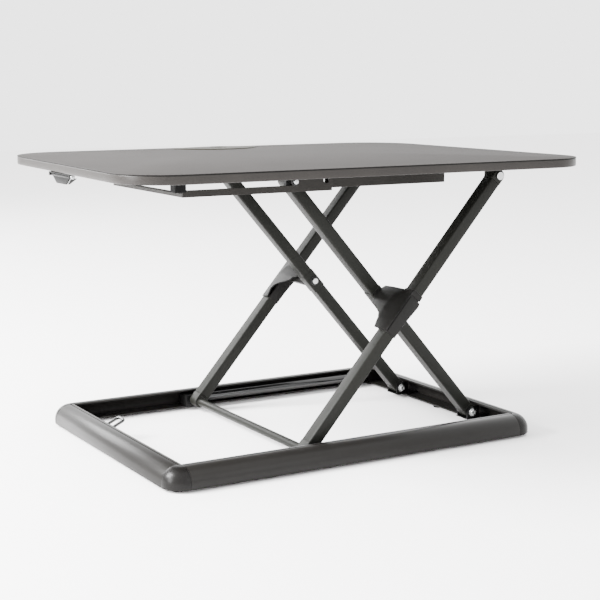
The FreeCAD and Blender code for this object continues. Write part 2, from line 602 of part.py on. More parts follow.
def stiffener(sign):
    """A box channel with a stepped right-hand end."""
    bottom = UNDER_Z + " - rail_tall"
    long = "channel_right - channel_left"
    y = "%s * channel_y" % sign
    outer = middle_box(long, "channel_wide", "rail_tall", "(channel_left + channel_right) / 2", y,
                       bottom + " + rail_tall / 2")
    step = middle_box("channel_step", "channel_wide", "channel_step_tall",
                      "channel_right + channel_step / 2", y, UNDER_Z + " - channel_step_tall / 2")
    room = middle_box("2 * (%s)" % long, "channel_wide - 2 * channel_wall",
                      "rail_tall - channel_wall * 2", "(channel_left + channel_right) / 2", y,
                      bottom + " + rail_tall / 2 + channel_wall")
    return cut(fuse(outer, step), room)


def build_under_desk():
    for name, sign in FRONT_REAR:
        subpart("rail_" + name, rail(sign))
    subpart("stiffener_channels", group(*[stiffener(sign) for _, sign in FRONT_REAR]))
    strut_z = UNDER_Z + " - rail_tall + strut_tall / 2"
    subpart("cross_strut", middle_box("strut_width", "2 * %s" % RAIL_Y, "strut_tall",
                                      RAIL_LEFT + " + strut_width / 2", 0, strut_z))
    bumpers = [box("bumper_length", "bumper_length", "bumper_drop",
                   RAIL_LEFT + " - bumper_length - end_gap",
                   along_y(sign, RAIL_Y, "bumper_length"),
                   UNDER_Z + " - bumper_drop") for _, sign in FRONT_REAR]
    subpart("fold_bumpers", group(*bumpers))
    plates, bolts = [], []
    for _, sign in FRONT_REAR:
        cheek_start = "outer_leg_y - leg_wide / 2 - side_gap - hinge_cheek"
        cheek = box("2 * cheek_radius", "hinge_cheek", "%s - %s" % (UNDER_Z, TOP_Z),
                    OUTER_TOP_X + " - cheek_radius", along_y(sign, cheek_start, "hinge_cheek"), TOP_Z)
        nose = rod("cheek_radius", "hinge_cheek", OUTER_TOP_X,
                   along_y(sign, cheek_start, "hinge_cheek"), TOP_Z, "y")
        plate_start = "%s + hinge_cheek - hinge_plate_wide" % cheek_start
        plate = box("hinge_plate_long", "hinge_plate_wide", "rail_thick",
                    OUTER_TOP_X + " - hinge_plate_long / 2",
                    along_y(sign, plate_start, "hinge_plate_wide"), UNDER_Z + " - rail_thick")
        hole = rod("bolt_radius", "hinge_cheek", OUTER_TOP_X,
                   along_y(sign, cheek_start, "hinge_cheek"), TOP_Z, "y")
        plates.append(cut(fuse(cheek, nose, plate), hole))
        shank_long = "hinge_cheek + leg_wide + 2 * side_gap"
        shank = rod("bolt_radius", shank_long, OUTER_TOP_X, along_y(sign, cheek_start, shank_long),
                    TOP_Z, "y")
        head_start = "%s + %s" % (cheek_start, shank_long)
        head = rod("head_radius", "head_thick / 2", OUTER_TOP_X,
                   along_y(sign, head_start, "head_thick / 2"), TOP_Z, "y")
        bolts.append(fuse(shank, head))
    subpart("hinge_brackets", group(*plates))
    subpart("hinge_bolts", group(*bolts))
    screws = []
    for _, sign in FRONT_REAR:
        for share in ("0.1", "0.5", "0.9"):
            x = "%s + (%s - %s) * %s" % (RAIL_LEFT, RAIL_RIGHT, RAIL_LEFT, share)
            y = "%s * (%s + rail_flange - 2 * screw_radius)" % (sign, RAIL_Y)
            screws.append(rod("screw_radius", "screw_head", x, y,
                              UNDER_Z + " - rail_thick - screw_head"))
        for end in ("-1", "1"):
            x = "%s + %s * (hinge_plate_long / 2 - 2 * screw_radius)" % (OUTER_TOP_X, end)
            y = "%s * (outer_leg_y - leg_wide / 2 - hinge_plate_wide / 2 - hinge_cheek)" % sign
            screws.append(rod("screw_radius", "screw_head", x, y,
                              UNDER_Z + " - rail_thick - screw_head"))
    subpart("under_desk_screws", group(*screws))


# ---- top sliders and lock ----

def build_top_sliders():
    shoes = []
    for _, sign in FRONT_REAR:
        start = "inner_leg_y + leg_wide / 2 + 2 * side_gap"
        thick = "rail_gap - 3 * side_gap"
        block = box("shoe_width", thick, BRIDGE_RISE + " + leg_tall / 2", INNER_TOP_X + " - shoe_width / 2",
                    along_y(sign, start, thick), TOP_Z + " - leg_tall / 2")
        boss_long = "%s + 2 * side_gap + rail_thick + 2 * side_gap" % thick
        boss = rod("shoe_boss", boss_long, INNER_TOP_X, along_y(sign, start, boss_long), TOP_Z, "y")
        bore = rod("bolt_radius + running_gap", boss_long, INNER_TOP_X,
                   along_y(sign, start, boss_long), TOP_Z, "y")
        shoes.append(cut(fuse(block, boss), bore))
    subpart("slider_shoes", group(*shoes))
    reach = "%s - side_gap" % RAIL_Y
    bar_z = BRIDGE_Z + " + bridge_thick / 2"
    bridge = middle_box("bridge_wide", "2 * (%s)" % reach, "bridge_thick", INNER_TOP_X, 0, bar_z)
    bar = middle_box(LOCK_BAR_LONG, LOCK_BAR_WIDE, "bridge_thick",
                     "%s + %s / 2" % (INNER_TOP_X, LOCK_BAR_LONG), 0, bar_z)
    subpart("lock_bar", fuse(bridge, bar))
    clips = [tube("nut_radius", "bolt_radius", "nut_thick / 3", INNER_TOP_X,
                  along_y(sign, RAIL_Y + " + rail_thick + 6 * side_gap", "nut_thick / 3"), TOP_Z)
             for _, sign in FRONT_REAR]
    subpart("axle_clips", group(*clips))


def cam(sign):
    """A clamping cam: a round hub on its pin and a nose under the lock bar."""
    y = "%s * cam_y - cam_thick / 2" % sign
    hub = rod("cam_round", "cam_thick", "cam_x", y, CAM_Z, "y")
    top = BRIDGE_Z + " - cam_pad_gap"
    side = "1" if sign == "-1" else "-1"
    nose = middle_box("cam_round", "cam_thick", "%s - %s" % (top, CAM_Z),
                      "cam_x + %s * cam_round / 2" % side, "%s * cam_y" % sign,
                      "(%s + %s) / 2" % (top, CAM_Z))
    pin_hole = rod("tie_pin + running_gap", "cam_thick", "cam_x", y, CAM_Z, "y")
    return cut(fuse(hub, nose), pin_hole)


def build_lock():
    for name, sign in LEFT_RIGHT:
        subpart("lock_cam_" + name, cam(sign))
    wall_y = "cam_y + cam_thick / 2 + side_gap"
    walls = []
    for sign in ("-1", "1"):
        walls.append(box("6 * cam_housing_wall", "cam_housing_wall", "cam_drop + cam_round",
                         "cam_x - 3 * cam_housing_wall",
                         along_y(sign, wall_y + " + side_gap", "cam_housing_wall"),
                         CAM_Z + " - cam_round"))
    roof = middle_box("6 * cam_housing_wall", "2 * (%s + side_gap + cam_housing_wall)" % wall_y,
                      "plate_thick", "cam_x", 0, UNDER_Z + " - plate_thick / 2")
    pin_y = wall_y + " + side_gap + cam_housing_wall"
    pin_hole = rod("tie_pin", "2 * (%s)" % pin_y, "cam_x", "-(%s)" % pin_y, CAM_Z, "y")
    ends = [box("6 * cam_housing_wall", "2 * (cable_y - (%s))" % pin_y, "cable_stop_tall",
                "cam_x - 3 * cam_housing_wall",
                along_y(sign, pin_y, "2 * (cable_y - (%s))" % pin_y), UNDER_Z + " - cable_stop_tall")
            for sign in ("-1", "1")]
    subpart("lock_housing", cut(fuse(*walls, roof, *ends), pin_hole))
    pins = [rod("tie_pin", "2 * (%s)" % pin_y, "cam_x", "-(%s)" % pin_y, CAM_Z, "y")]
    brackets, springs = [], []
    ear_y = "lever_top / 2 + side_gap"
    for name, sign in LEFT_RIGHT:
        x = "%s * %s" % (sign, LEVER_X)
        plate = middle_box("plate_long", "2 * (%s + lever_ear)" % ear_y, "plate_thick",
                           "%s * (%s - plate_long / 2 + lever_ear)" % (sign, LEVER_X), 0,
                           UNDER_Z + " - plate_thick / 2")
        ears = [middle_box("2 * lever_ear", "lever_ear", "lever_drop + lever_ear / 2", x,
                           "%s * (%s + lever_ear / 2)" % (end, ear_y),
                           UNDER_Z + " - (lever_drop + lever_ear / 2) / 2") for end in ("-1", "1")]
        pin_long = "2 * (%s + lever_ear + 8 * spring_wire)" % ear_y
        ear_hole = rod("lever_pin", pin_long, x, "-(%s) / 2" % pin_long, LEVER_Z, "y")
        room_long = "2 * (%s)" % ear_y
        barrel_room = rod("barrel_radius + side_gap / 2", room_long, x, "-(%s)" % ear_y, LEVER_Z, "y")
        stop = middle_box("cable_stop", "cable_stop", "cable_stop_tall",
                          "%s * (%s + cable_stop / 2)" % (sign, PLATE_INNER_X), "%s * cable_y" % sign,
                          UNDER_Z + " - cable_stop_tall / 2")
        brackets.append(cut(fuse(plate, *ears, stop), ear_hole, barrel_room))
        pins.append(rod("lever_pin", pin_long, x, "-(%s) / 2" % pin_long, LEVER_Z, "y"))
        for end in ("-1", "1"):
            springs.append(lever_spring(x, end, ear_y))
        subpart("release_lever_" + name, release_lever(sign, x))
        subpart("release_cable_" + name, release_cable(sign))
    subpart("lever_brackets", group(*brackets))
    subpart("lock_pins", group(*pins))
    subpart("lever_springs", group(*springs))
    near_levers = [cable_clip(sign, "%s * (%s - plate_long)" % (sign, PLATE_INNER_X))
                   for _, sign in LEFT_RIGHT]
    subpart("cable_clips", group(*near_levers, cable_clip("1", LEVER_X + " / 2")))


def lever_spring(x, end, ear_y):
    """Close turns of spring wire round one end of a lever's pin, outside the ear."""
    turns = []
    for index in range(3):
        ring = DOC.addObject("Part::Torus", "Turn")
        ring.Placement = FreeCAD.Placement(FreeCAD.Vector(), FreeCAD.Rotation(*AXES["y"]))
        bind(ring, Radius1="lever_pin + spring_wire + running_gap", Radius2="spring_wire")
        at_y = "%s * (%s + lever_ear + spring_wire * (1 + 1.8 * %d))" % (end, ear_y, index)
        turns.append(place(ring, x, at_y, LEVER_Z))
    return fuse(*turns)


def release_lever(sign, x):
    """A paddle that narrows downwards, hung from a barrel round its pin."""
    barrel = rod("barrel_radius", "lever_top", x, "-lever_top / 2", LEVER_Z, "y")
    paddle = DOC.addObject("Part::Wedge", "Paddle")
    half = "lever_thick / 2"
    bind(paddle, Xmin="-" + half, Xmax=half, Ymin="-lever_tall", Ymax="0", Zmin="-lever_low / 2",
         Zmax="lever_low / 2", X2min="-" + half, X2max=half, Z2min="-lever_top / 2",
         Z2max="lever_top / 2")
    paddle.Placement = FreeCAD.Placement(FreeCAD.Vector(), FreeCAD.Rotation(FreeCAD.Vector(1, 0, 0), 90))
    place(paddle, x, 0, LEVER_Z)
    hole = rod("lever_pin + running_gap", "lever_top", x, "-lever_top / 2", LEVER_Z, "y")
    return cut(fuse(barrel, paddle), hole)


def release_cable(sign):
    """A straight sheathed cable against the board, from the lever's plate to the cams' housing."""
    lever_end = "%s * %s" % (sign, PLATE_INNER_X)
    cam_end = "cam_x + %s * 3 * cam_housing_wall" % sign
    left, right = (lever_end, cam_end) if sign == "-1" else (cam_end, lever_end)
    return rod("cable_radius", "%s - (%s)" % (right, left), left, "%s * cable_y" % sign, CABLE_Z, "x")


def cable_clip(sign, x):
    """A saddle that holds a cable up against the board."""
    block = middle_box("cable_clip", "2 * cable_clip", "3 * cable_radius", x, "%s * cable_y" % sign,
                       UNDER_Z + " - 1.5 * cable_radius")
    groove = rod("cable_radius", "cable_clip", x + " - cable_clip / 2", "%s * cable_y" % sign, CABLE_Z, "x")
    mouth = middle_box("cable_clip", "2 * cable_radius", "cable_radius", x, "%s * cable_y" % sign,
                       UNDER_Z + " - cable_radius / 2")
    return cut(block, groove, mouth)


build_base()
build_base_pivots()
build_catch()
for side_name, side_sign in FRONT_REAR:
    subpart("base_slider_" + side_name, base_slider(side_sign))
build_lift_cylinder()
build_inner_frame()
build_outer_frame()
build_desktop()
build_under_desk()
build_top_sliders()
build_lock()
DOC.recompute()

for item in DOC.Objects:
    if "Invalid" in item.State or "Error" in item.State:
        raise RuntimeError("%s (%s) failed: %s" % (item.Name, item.Label, item.State))
os.makedirs("parts", exist_ok=True)
for node, item in SUBPARTS:
    if item.Shape.isNull() or not item.Shape.isValid() or not item.Shape.Solids:
        raise RuntimeError("%s has no valid shape" % node)
for node, item in SUBPARTS:
    item.Shape.exportStep("parts/%s.step" % node)
    print(node, len(item.Shape.Solids), round(item.Shape.Volume))
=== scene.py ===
"""The looks of a standing desk converter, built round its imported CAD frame.  Sizes in the code are
millimetres in the CAD frame: +X to the user's right, +Y away from the user, +Z up."""
import json
import math

import bmesh
import bpy
import numpy as np
from mathutils import Matrix, Vector


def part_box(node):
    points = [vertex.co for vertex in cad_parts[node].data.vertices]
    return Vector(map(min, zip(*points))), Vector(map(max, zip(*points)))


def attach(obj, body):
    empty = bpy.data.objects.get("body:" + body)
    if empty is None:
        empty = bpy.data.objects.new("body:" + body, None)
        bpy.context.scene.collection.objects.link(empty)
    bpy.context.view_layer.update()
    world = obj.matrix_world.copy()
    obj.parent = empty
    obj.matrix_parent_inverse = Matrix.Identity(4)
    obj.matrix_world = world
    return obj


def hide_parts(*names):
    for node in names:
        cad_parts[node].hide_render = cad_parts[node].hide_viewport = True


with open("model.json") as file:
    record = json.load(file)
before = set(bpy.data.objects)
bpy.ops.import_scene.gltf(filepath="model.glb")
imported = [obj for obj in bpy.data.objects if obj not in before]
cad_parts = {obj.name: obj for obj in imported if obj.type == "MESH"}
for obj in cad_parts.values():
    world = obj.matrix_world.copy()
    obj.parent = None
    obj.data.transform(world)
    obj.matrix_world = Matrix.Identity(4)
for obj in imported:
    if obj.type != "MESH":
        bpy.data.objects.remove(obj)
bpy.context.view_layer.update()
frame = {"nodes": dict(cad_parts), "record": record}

MM = 0.001
X, Y, Z = np.eye(3)


# ---- camera, floor and light ----

def camera():
    """A long lens from the front left, a little above the desktop."""
    yaw, pitch = math.radians(30.32), math.radians(9.42)
    lens = bpy.data.cameras.new("camera")
    lens.sensor_width, lens.lens = 36.0, 83.57
    lens.clip_start, lens.clip_end = 0.05, 60.0
    view = bpy.data.objects.new("camera", lens)
    view.location = (-1.1232, -1.9593, 0.5929)
    view.rotation_euler = (math.pi / 2 - pitch, 0, -yaw)
    bpy.context.scene.collection.objects.link(view)
    bpy.context.scene.camera = view


def softbox(name, place, aim, size, watts):
    """A rectangular studio light that faces a point."""
    lamp = bpy.data.lights.new(name, "AREA")
    lamp.shape, (lamp.size, lamp.size_y), lamp.energy = "RECTANGLE", size, watts
    box = bpy.data.objects.new(name, lamp)
    box.location = place
    box.rotation_euler = (Vector(aim) - Vector(place)).to_track_quat("-Z", "Y").to_euler()
    bpy.context.scene.collection.objects.link(box)


# ---- materials ----

def tone(colour):
    """An sRGB hex colour as linear red, green, blue and alpha."""
    share = [int(colour[i:i + 2], 16) / 255 for i in (1, 3, 5)]
    return [c / 12.92 if c <= 0.04045 else ((c + 0.055) / 1.055) ** 2.4 for c in share] + [1.0]


def add(tree, kind, inputs=(), **settings):
    """Adds a node, sets it, and fills its inputs with values or with other nodes' outputs."""
    node = tree.nodes.new(kind)
    for key, value in settings.items():
        setattr(node, key, value)
    for key, value in dict(inputs).items():
        if isinstance(value, bpy.types.NodeSocket):
            tree.links.new(value, node.inputs[key])
        else:
            node.inputs[key].default_value = value
    return node


def surface(name, colours, roughness, metallic=0.0, grain=1.0, lift=0.0, mottle=60.0, stretch=(1, 1, 1),
            swing=0.08, shine=0.1):
    """A finish whose tone drifts between two colours over about `mottle` mm and whose surface has a
    grain of `grain` mm that stands `lift` mm proud; `stretch` draws the grain out along an axis,
    `swing` is how far the roughness strays, and `shine` is the specular level of a clear coat."""
    material = bpy.data.materials.new(name)
    material.use_nodes = True
    tree = material.node_tree
    tree.nodes.clear()
    spot = add(tree, "ShaderNodeTexCoord").outputs["Object"]
    cloud = add(tree, "ShaderNodeTexNoise", {"Vector": spot, "Scale": 1 / (mottle * MM), "Detail": 4.0})
    drawn = add(tree, "ShaderNodeMapping", {"Vector": spot, "Scale": stretch})
    fine = add(tree, "ShaderNodeTexNoise", {"Vector": drawn.outputs[0], "Scale": 1 / (grain * MM),
                                            "Detail": 3.0, "Roughness": 0.6})
    blend = add(tree, "ShaderNodeMath", {0: cloud.outputs[0], 1: fine.outputs[0]}, operation="ADD")
    spread = add(tree, "ShaderNodeMapRange", {"Value": blend.outputs[0], "From Min": 0.6, "From Max": 1.4})
    colour = add(tree, "ShaderNodeMix", {0: spread.outputs[0], 6: tone(colours[0]), 7: tone(colours[1])},
                 data_type="RGBA")
    rough = add(tree, "ShaderNodeMapRange", {"Value": fine.outputs[0], "From Min": 0.25, "From Max": 0.75,
                                             "To Min": roughness - swing, "To Max": roughness + swing})
    shader = {"Base Color": colour.outputs[2], "Roughness": rough.outputs[0], "Metallic": metallic,
              "Specular IOR Level": shine}
    if lift:
        bump = add(tree, "ShaderNodeBump", {"Height": fine.outputs[0], "Strength": 1.0,
                                            "Distance": lift * MM})
        shader["Normal"] = bump.outputs[0]
    body = add(tree, "ShaderNodeBsdfPrincipled", shader)
    add(tree, "ShaderNodeOutputMaterial", {"Surface": body.outputs[0]})
    return material


# Polyester powder coat on steel: fine orange-peel grain, matt, dark warm grey.
POWDER = surface("powder_coated_steel", ("#0f100e", "#161613"), 0.48, grain=0.9, lift=0.05)
# The same coat where the frame's under-desk pressings carry it.
PRESSED = surface("powder_coated_pressing", ("#1b1a18", "#242220"), 0.44, grain=0.9, lift=0.04)
# Lacquered aluminium extrusion: satin, with faint die lines along its length.
BAR_X = surface("lacquered_extrusion_along_x", ("#141312", "#191817"), 0.30, grain=0.8, lift=0.002,
                stretch=(0.02, 1, 1), swing=0.02)
BAR_Y = surface("lacquered_extrusion_along_y", ("#141312", "#191817"), 0.30, grain=0.8, lift=0.002,
                stretch=(1, 0.02, 1), swing=0.02)
# Spark-eroded black ABS: even, fine, slightly glossy.
ABS = surface("moulded_black_abs", ("#050505", "#090909"), 0.42, grain=0.7, lift=0.03)
# Charcoal ABS of the mid-pivot covers: the same grain, a shade lighter.
COVER = surface("moulded_grey_abs", ("#0c0c0b", "#121110"), 0.42, grain=0.7, lift=0.03)
# Charcoal ABS of the corner caps: smoother, so that the round corner takes a soft highlight.
CORNER = surface("moulded_corner_abs", ("#0d0c0c", "#121110"), 0.30, grain=0.7, lift=0.01)
# Grey melamine laminate: smooth and satin with a very faint speckle.
LAMINATE = surface("grey_melamine_laminate", ("#2c2a29", "#32302f"), 0.55, grain=1.4, lift=0.004,
                   mottle=120, shine=0.02)
# Painted shadow: the laminate sheet's rim is painted near black, a thin dark line round the board that stands
# in for the shadow along its top edge.
PAINTED_SHADOW_RIM = surface("laminate_rim_painted_shadow", ("#050404", "#090808"), 0.6, grain=1.0)
# Plastic edge band, ironed on: grey, slightly lighter than the frame.
EDGING = surface("grey_edge_banding", ("#232120", "#292725"), 0.32, grain=1.6, lift=0.01)
# Matt backing foil under the board.
BACKING = surface("dark_backing_board", ("#131211", "#191817"), 0.6, grain=2.0, lift=0.02)
# Olive-brown ABS of the cable insert.
OLIVE = surface("moulded_olive_abs", ("#16140b", "#1c1a10"), 0.45, grain=0.8, lift=0.02)
# Bright zinc plate: small pale points on the bolts.
ZINC = surface("zinc_plated_steel", ("#a7a8a8", "#bfc0c0"), 0.28, 1.0, grain=0.8, lift=0.01)
# Blackened steel: dark metal with a dull sheen.
DARK_STEEL = surface("black_oxide_steel", ("#202020", "#303030"), 0.32, 0.8, grain=0.6, lift=0.01)
# Ground and chromed rod: a sharp mirror along its length.
CHROME = surface("hard_chrome", ("#c9cacb", "#dadbdc"), 0.08, 1.0, grain=0.6, swing=0.02)
# Stoved gloss lacquer: black, with clear highlights.
LACQUER = surface("gloss_black_lacquer", ("#030303", "#060606"), 0.16, grain=2.0, swing=0.03,
                  shine=0.5)
# Oil-soaked bearing bronze: dull brown metal.
BRONZE = surface("sintered_bronze", ("#7c6344", "#8d7350"), 0.42, 0.9, grain=0.4, lift=0.02)
# Rubber: black, with no highlight.
RUBBER = surface("nitrile_rubber", ("#070707", "#0b0b0b"), 0.75, grain=0.8, lift=0.03)
# Moulded nylon: black and slightly waxy.
NYLON = surface("black_nylon", ("#070707", "#0c0c0c"), 0.36, grain=0.7, lift=0.01)
# Plain pale studio floor.
FLOOR = surface("matt_white_floor", ("#f6f5f5", "#f8f7f7"), 0.9, grain=4.0, swing=0.02)


# ---- shapes ----

def place(basis, flat, height):
    """Points of a plane outline at a height, in the axes of a basis (origin, two in-plane axes and
    the axis that the height runs along)."""
    origin, across, up, out = (np.asarray(v, float) for v in basis)
    height = np.broadcast_to(np.asarray(height, float), flat.shape[:-1])
    return origin + flat[..., :1] * across + flat[..., 1:2] * up + height[..., None] * out


def skin(rings, closed=False):
    """Points and faces of a skin through closed rings of equal length; open ends get a flat cap."""
    rows, around = rings.shape[:2]
    index = np.arange(rows * around).reshape(rows, around)
    low, high = (index, np.roll(index, -1, 0)) if closed else (index[:-1], index[1:])
    quads = np.stack([low, np.roll(low, -1, 1), np.roll(high, -1, 1), high], -1).reshape(-1, 4)
    caps = [] if closed else [index[0][::-1].tolist(), index[-1].tolist()]
    return rings.reshape(-1, 3), quads.tolist() + caps


def inset(outline, amount):
    """Each point of a counter-clockwise outline moved inwards along the mitre of its two sides."""
    ahead = np.roll(outline, -1, 0) - outline
    ahead = ahead / np.linalg.norm(ahead, axis=1, keepdims=True)
    behind = np.roll(ahead, 1, 0)
    first, second = (np.stack([-v[:, 1], v[:, 0]], 1) for v in (ahead, behind))
    mitre = (first + second) / (1 + (first * second).sum(1, keepdims=True)).clip(0.3)
    return outline + amount * mitre


def rim(edge, steps=4):
    """Insets and heights along a quarter round: edge * (1 - sin a) and edge * (1 - cos a)."""
    angle = np.linspace(0, math.pi / 2, steps + 1)
    return edge * (1 - np.sin(angle)), edge * (1 - np.cos(angle))


def slab(basis, outline, low, high, edge=0.5, steps=3):
    """A plate from low to high over an outline, with both rims rounded by edge."""
    insets, heights = rim(edge, steps)
    rings = [place(basis, inset(outline, i), low + h) for i, h in zip(insets, heights)]
    rings += [place(basis, inset(outline, i), high - h) for i, h in zip(insets[::-1], heights[::-1])]
    return skin(np.array(rings))


def holed_slab(basis, outline, hole, low, high, edge=0.5, hole_edge=0.5, crown=0.0):
    """The same with a hole of as many points: a closed tube of rings, out along the underside, round
    the outer rim, in over the top (raised by crown at the hole) and down through the hole."""
    insets, heights = rim(edge)
    hole_in, hole_up = rim(hole_edge)
    rings = [place(basis, inset(outline, i), low + h) for i, h in zip(insets, heights)]
    rings += [place(basis, inset(outline, i), high - h) for i, h in zip(insets[::-1], heights[::-1])]
    top = high + crown
    rings += [place(basis, inset(hole, -i), top - h) for i, h in zip(hole_in, hole_up)]
    rings += [place(basis, inset(hole, -i), low + h) for i, h in zip(hole_in[::-1], hole_up[::-1])]
    return skin(np.array(rings), closed=True)


def lathe(basis, profile, steps=40):
    """A closed (radius, height) profile turned about the basis's last axis."""
    origin, across, up, out = (np.asarray(v, float) for v in basis)
    angle = np.linspace(0, 2 * math.pi, steps, endpoint=False)[:, None, None]
    profile = np.asarray(profile, float)
    around = np.cos(angle) * across + np.sin(angle) * up
    return skin(origin + profile[:, :1] * around + profile[:, 1:] * out, closed=True)


def corners(points, radii, steps=10):
    """A counter-clockwise outline with each corner rounded by its own radius."""
    points = np.asarray(points, float)
    pieces = []
    for here, back, ahead, radius in zip(points, np.roll(points, 1, 0), np.roll(points, -1, 0), radii):
        one, two = (v / np.linalg.norm(v) for v in (back - here, ahead - here))
        half = math.acos(np.clip(one @ two, -1, 1)) / 2
        middle = here + (one + two) / np.linalg.norm(one + two) * radius / math.sin(half)
        start, end = (here + v * radius / math.tan(half) - middle for v in (one, two))
        begin = math.atan2(start[1], start[0])
        sweep = (math.atan2(end[1], end[0]) - begin + math.pi) % (2 * math.pi) - math.pi
        angle = begin + sweep * np.linspace(0, 1, steps)
        pieces.append(middle + radius * np.stack([np.cos(angle), np.sin(angle)], 1))
    return np.concatenate(pieces)


def oblong(left, right, low, high, radius, steps=6):
    """A rectangle with four corners of one radius."""
    return corners([(left, low), (right, low), (right, high), (left, high)], [radius] * 4, steps)


def circle(radius, middle=(0, 0), steps=40, turn=0.0):
    """Points round a circle."""
    angle = np.linspace(0, 2 * math.pi, steps, endpoint=False) + turn
    return np.asarray(middle) + radius * np.stack([np.cos(angle), np.sin(angle)], 1)


def seen_from(outline, middle, count):
    """An outline's points where rays at even angles from a middle point cross it."""
    dense = np.concatenate([outline + (np.roll(outline, -1, 0) - outline) * share
                            for share in np.linspace(0, 1, 600, endpoint=False)])
    reach = dense - middle
    angle = np.arctan2(reach[:, 1], reach[:, 0])
    order = np.argsort(angle)
    even = np.linspace(-math.pi, math.pi, count, endpoint=False)
    far = np.interp(even, angle[order], np.linalg.norm(reach, axis=1)[order], period=2 * math.pi)
    return middle + far[:, None] * np.stack([np.cos(even), np.sin(even)], 1)


# ---- making pieces ----

def piece(name, parts, body, finish, replaces=(), sharp=32):
    """A piece from one or more (points, faces) skins, closed up and turned outwards."""
    build = bmesh.new()
    for points, faces in parts:
        made = [build.verts.new(p) for p in (np.asarray(points) * MM).tolist()]
        for face in faces:
            if len(set(face)) > 2:
                build.faces.new([made[i] for i in face])
    bmesh.ops.remove_doubles(build, verts=build.verts, dist=2e-7)
    bmesh.ops.recalc_face_normals(build, faces=build.faces)
    mesh = bpy.data.meshes.new(name)
    build.to_mesh(mesh)
    build.free()
    return dress(mesh, name, body, finish, replaces, sharp)


def dress(mesh, name, body, finish, replaces, sharp):
    """Gives a mesh its finish, its body and the CAD nodes that it stands for."""
    mesh.materials.append(finish)
    mesh.shade_smooth()
    mesh.set_sharp_from_angle(angle=math.radians(sharp))
    thing = bpy.data.objects.new(name, mesh)
    bpy.context.scene.collection.objects.link(thing)
    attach(thing, body)
    if replaces:
        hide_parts(*replaces)
    return thing


BODIES = {name: body for body, names in frame["record"]["behaviour"]["bodies"].items() for name in names}


def eased(node, finish, width):
    """A CAD node's own shape with its edges eased by width mm."""
    build = bmesh.new()
    build.from_mesh(frame["nodes"][node].data)
    bmesh.ops.remove_doubles(build, verts=build.verts, dist=1e-6)
    bmesh.ops.dissolve_limit(build, angle_limit=math.radians(1), verts=build.verts, edges=build.edges)
    mesh = bpy.data.meshes.new(node + "_shape")
    build.to_mesh(mesh)
    build.free()
    thing = dress(mesh, node + "_shape", BODIES[node], finish, [node], 32)
    if width:
        ease = thing.modifiers.new("eased_edges", "BEVEL")
        ease.width, ease.segments = width * MM, 2
        ease.limit_method, ease.angle_limit = "ANGLE", math.radians(40)
        ease.harden_normals = True
    return thing


def box_of(node):
    """A CAD node's lowest and highest corners in millimetres."""
    return tuple(np.array(corner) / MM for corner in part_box(node))


def centre_of(node):
    return sum(box_of(node)) / 2


# ---- places read from the frame ----

PIVOT, MIDDLE, FOOT = (centre_of(n) for n in ("base_pivot_bolts", "mid_pivot_shafts", "foot_pins"))
INNER_TOP, OUTER_TOP = centre_of("top_axle"), centre_of("hinge_bolts")
PIVOT[1] = MIDDLE[1] = FOOT[1] = INNER_TOP[1] = OUTER_TOP[1] = 0
OUTER_UP = (OUTER_TOP - FOOT) / np.linalg.norm(OUTER_TOP - FOOT)
INNER_UP = (INNER_TOP - PIVOT) / np.linalg.norm(INNER_TOP - PIVOT)
OUTER_OVER = np.array([-OUTER_UP[2], 0, OUTER_UP[0]])
INNER_OVER = np.array([INNER_UP[2], 0, -INNER_UP[0]])
OUTER_LEG = (MIDDLE, OUTER_UP, OUTER_OVER, Y)
INNER_LEG = (MIDDLE, INNER_UP, INNER_OVER, Y)
SIDES = (("front", -1), ("rear", 1))
# Half a leg's height and width, the reach of its end fittings, and the inner legs' distance in Y.
LEG_HALF, LEG_SIDE, FITTING, INNER_Y = 10.0, 11.5, 12, 106.0


def base_frame():
    """Four extruded bars and four corner caps with the same shoulder, groove and lower edge."""
    low, high = box_of("base_bar_front")
    wide, tall, wall, shoulder = high[1] - low[1], high[2] - low[2], 2.5, 24.0
    right = box_of("base_bar_front")[1][0]
    rear = box_of("base_bar_left")[1][1]
    arc = np.linspace(0, math.pi / 2, 15)
    round_off = np.stack([wide - shoulder + shoulder * np.cos(arc),
                          tall - shoulder + shoulder * np.sin(arc)], 1)
    inner = shoulder - wall
    under = np.stack([wide - shoulder + inner * np.cos(arc),
                      tall - shoulder + inner * np.sin(arc)], 1)
    groove = [(6.9, tall), (6.7, tall - 1.6), (5.3, tall - 1.6), (5.1, tall)]
    outside = np.concatenate([[(0.7, 0), (wide - 1.2, 0), (wide - 0.35, 0.35), (wide, 1.2)], round_off,
                              groove, [(0.9, tall), (0.25, tall - 0.3), (0, tall - 0.9)]])
    inside = np.concatenate([[(0, tall - wall)], under[::-1], [(wide - wall, wall), (0, wall), (0, 0.7)]])
    hollow = np.concatenate([outside, inside])
    solid = np.concatenate([outside, [(0, 0)]])
    front, back = -rear, rear
    left = -right
    base = low[2]
    runs = (("base_bar_front", (0, front, base), -Y, X, left, right, BAR_X),
            ("base_bar_rear", (0, back, base), Y, X, left, right, BAR_X),
            ("base_bar_left", (left, 0, base), -X, Y, front, back, BAR_Y),
            ("base_bar_right", (right, 0, base), X, Y, front, back, BAR_Y))
    for node, origin, outwards, along, start, end, finish in runs:
        bar = slab((origin, outwards, Z, along), hollow, start, end, 0.4, 2)
        piece(node + "_extrusion", [bar], "base", finish, [node])
    caps = []
    for x, y, turn in ((right, back, 0), (left, back, 90), (left, front, 180), (right, front, 270)):
        angle = np.radians(turn + np.array([0, 0.9, *np.linspace(4, 86, 22), 89.1, 90]))
        shrink = np.array([0.45] + [0.0] * 24 + [0.45])
        rings = [np.array([x, y, base]) + np.stack([p[:, 0] * math.cos(a), p[:, 0] * math.sin(a), p[:, 1]], 1)
                 for a, p in ((a, inset(solid, s)) for a, s in zip(angle, shrink))]
        caps.append(skin(np.array(rings)))
    piece("corner_caps_moulding", caps, "base", CORNER, ["corner_caps"])


